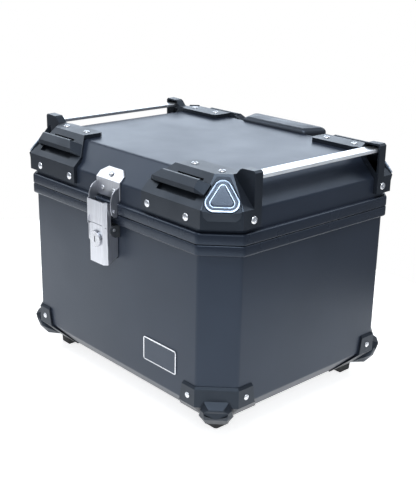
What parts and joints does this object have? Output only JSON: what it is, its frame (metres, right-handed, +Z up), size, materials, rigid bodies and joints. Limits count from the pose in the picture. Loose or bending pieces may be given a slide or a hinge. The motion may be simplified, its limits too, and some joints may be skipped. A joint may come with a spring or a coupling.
{
  "type": "motorcycle top case",
  "caption": "Hard aluminium luggage case for a motorcycle rack, with a rear-hinged lid, keyed draw latch, tie-down corners and side rails.",
  "frame": {"origin": "centre of the case in plan, on the plane its feet stand on", "axes": "+Z up through the lid, -Y out of the latch side, +Y out of the hinge side, +X to the right as seen from the latch side"},
  "size_m": [0.4342, 0.3732, 0.3449],
  "materials": {
    "paint": "satin",
    "rim_paint": "satin",
    "moulded": "matte",
    "rubber": "matte",
    "stainless": "brushed",
    "dark_steel": "satin",
    "bare_aluminium": "satin",
    "rivet": "polished",
    "pad": "matte",
    "badge": "satin"
  },
  "bodies": {
    "case": {"body_shell": "paint", "body_rim": "rim_paint", "corner_guard_fl": "moulded", "corner_guard_fr": "moulded", "corner_guard_rl": "moulded", "corner_guard_rr": "moulded", "foot_fl": "rubber", "foot_fr": "rubber", "foot_rl": "rubber", "foot_rr": "rubber", "rack_plate": "dark_steel", "hinge_body_leaf_left": "dark_steel", "hinge_body_leaf_right": "dark_steel", "hinge_pin_left": "stainless", "hinge_pin_right": "stainless", "latch_base": "dark_steel", "lever_pin": "stainless", "name_plate": "badge"},
    "lid": {"lid_shell": "paint", "lid_rim": "rim_paint", "lid_seal": "rubber", "lid_corner_fl": "moulded", "lid_corner_fr": "moulded", "lid_corner_rl": "moulded", "lid_corner_rr": "moulded", "badge_fl": "badge", "badge_fr": "badge", "badge_rl": "badge", "badge_rr": "badge", "rivet_fl_top_in": "rivet", "rivet_fl_top_out": "rivet", "rivet_fl_wall_in": "rivet", "rivet_fl_wall_out": "rivet", "rivet_fl_side": "rivet", "rivet_fr_top_in": "rivet", "rivet_fr_top_out": "rivet", "rivet_fr_wall_in": "rivet", "rivet_fr_wall_out": "rivet", "rivet_fr_side": "rivet", "rivet_rl_top_in": "rivet", "rivet_rl_top_out": "rivet", "rivet_rl_wall_in": "rivet", "rivet_rl_wall_out": "rivet", "rivet_rl_side": "rivet", "rivet_rr_top_in": "rivet", "rivet_rr_top_out": "rivet", "rivet_rr_wall_in": "rivet", "rivet_rr_wall_out": "rivet", "rivet_rr_side": "rivet", "rail_left": "bare_aluminium", "rail_right": "bare_aluminium", "backrest_pad": "pad", "hinge_lid_leaf_left": "dark_steel", "hinge_lid_leaf_right": "dark_steel", "latch_catch": "stainless", "catch_pin": "stainless"},
    "lever": {"latch_lever": "stainless"},
    "link": {"latch_link": "stainless"},
    "lock": {"lock_cylinder": "bare_aluminium"}
  },
  "joints": [
    {"name": "lid_hinge", "type": "hinge", "parent": "case", "child": "lid", "pos_m": [0, 0.1772, 0.2574], "axis": [-1, 0, 0], "range_deg": [0, 95]},
    {"name": "lever_swing", "type": "hinge", "parent": "case", "child": "lever", "pos_m": [0, -0.1775, 0.238], "axis": [-1, 0, 0], "range_deg": [0, 85]},
    {"name": "link_swing", "type": "hinge", "parent": "lever", "child": "link", "pos_m": [0, -0.183, 0.221], "axis": [1, 0, 0], "range_deg": [0, 102]},
    {"name": "lock_turn", "type": "hinge", "parent": "lever", "child": "lock", "pos_m": [0, -0.189, 0.2235], "axis": [0, -1, 0], "range_deg": [0, 90]}
  ],
  "couplings": [
    {"joint": "link_swing", "follows": "lever_swing", "ratio": 1.2}
  ]
}
